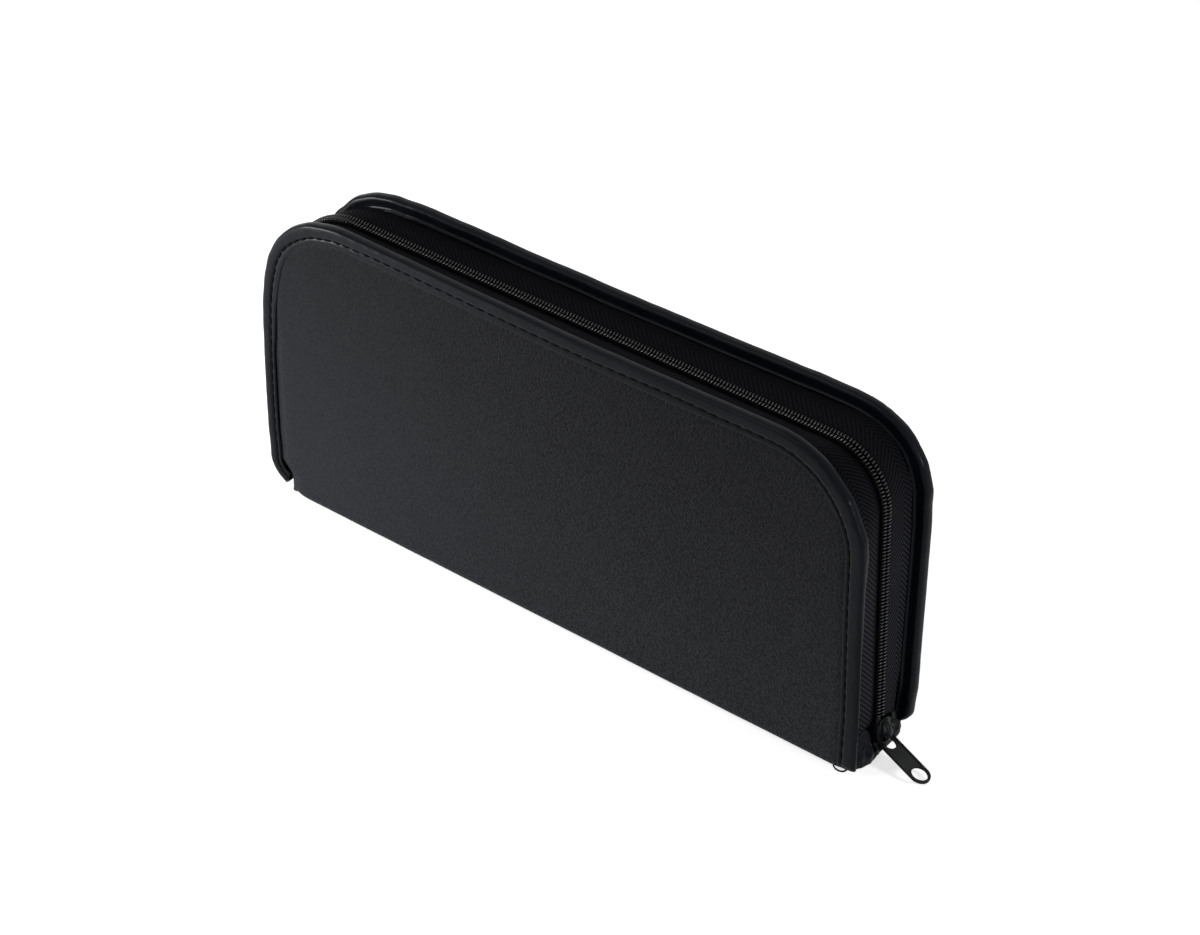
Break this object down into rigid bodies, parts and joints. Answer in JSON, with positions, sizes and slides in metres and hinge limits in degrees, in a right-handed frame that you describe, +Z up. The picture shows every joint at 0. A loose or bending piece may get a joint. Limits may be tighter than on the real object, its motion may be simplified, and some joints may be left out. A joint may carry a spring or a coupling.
{
  "type": "zip pen case",
  "caption": "Flat zip case for fountain pens, standing on its spine, with two hinged covers, a zip gusset with slider and puller, and elastic pen loops inside.",
  "frame": {"origin": "middle of the spine's underside, on the surface that the case stands on", "axes": "+X along the spine towards the end where the closed zip's slider is parked, +Y towards the rear cover, +Z up from the spine to the covers' top edges"},
  "size_m": [0.3438, 0.0485, 0.147],
  "materials": {
    "leatherette": "fine pebbled grain, satin",
    "binding_vinyl": "smooth, semi-gloss",
    "board": "matt",
    "lining_cloth": "short velvet pile",
    "zip_tape": "herringbone weave",
    "zip_coil": "glossy nylon",
    "thread": "twisted thread",
    "elastic": "ribbed elastic",
    "slider_metal": "dark satin enamel"
  },
  "bodies": {
    "spine": {"spine_skin": "leatherette", "spine_board": "board", "spine_lining": "lining_cloth", "front_crease_skin": "leatherette", "rear_crease_skin": "leatherette", "zip_end_spine_binding": "binding_vinyl", "far_end_spine_binding": "binding_vinyl"},
    "front_leaf": {"front_cover_skin": "leatherette", "front_board": "board", "front_lining": "lining_cloth", "front_binding": "binding_vinyl", "front_binding_stitches": "thread", "front_zip_tape": "zip_tape", "front_zip_coil": "zip_coil", "front_upper_elastic": "elastic", "front_lower_elastic": "elastic"},
    "rear_leaf": {"rear_cover_skin": "leatherette", "rear_board": "board", "rear_lining": "lining_cloth", "rear_binding": "binding_vinyl", "rear_binding_stitches": "thread", "rear_zip_tape": "zip_tape", "rear_zip_coil": "zip_coil", "rear_upper_elastic": "elastic", "rear_lower_elastic": "elastic"},
    "slider": {"slider_body": "slider_metal", "slider_bail": "slider_metal"},
    "puller": {"slider_puller": "slider_metal"}
  },
  "joints": [
    {"name": "front_leaf_hinge", "type": "hinge", "parent": "spine", "child": "front_leaf", "pos_m": [0.0001, -0.0107, 0.005], "axis": [0.9998, -0.0209, 0], "range_deg": [0, 86], "deforming": ["front_crease_skin"]},
    {"name": "rear_leaf_hinge", "type": "hinge", "parent": "spine", "child": "rear_leaf", "pos_m": [0.0001, 0.0107, 0.005], "axis": [-0.9998, -0.0209, 0], "range_deg": [0, 88], "deforming": ["rear_crease_skin"]},
    {"name": "slider_run", "type": "slide", "parent": "rear_leaf", "child": "slider", "axis": [0, -0.0419, 0.9991], "range_m": [0, 0.09], "deforming": ["front_zip_coil", "rear_zip_coil"]},
    {"name": "puller_hinge", "type": "hinge", "parent": "slider", "child": "puller", "pos_m": [0.1594, 0.00191, 0.01159], "axis": [-0.1045, -0.9936, -0.0416], "range_deg": [0, 90]}
  ]
}
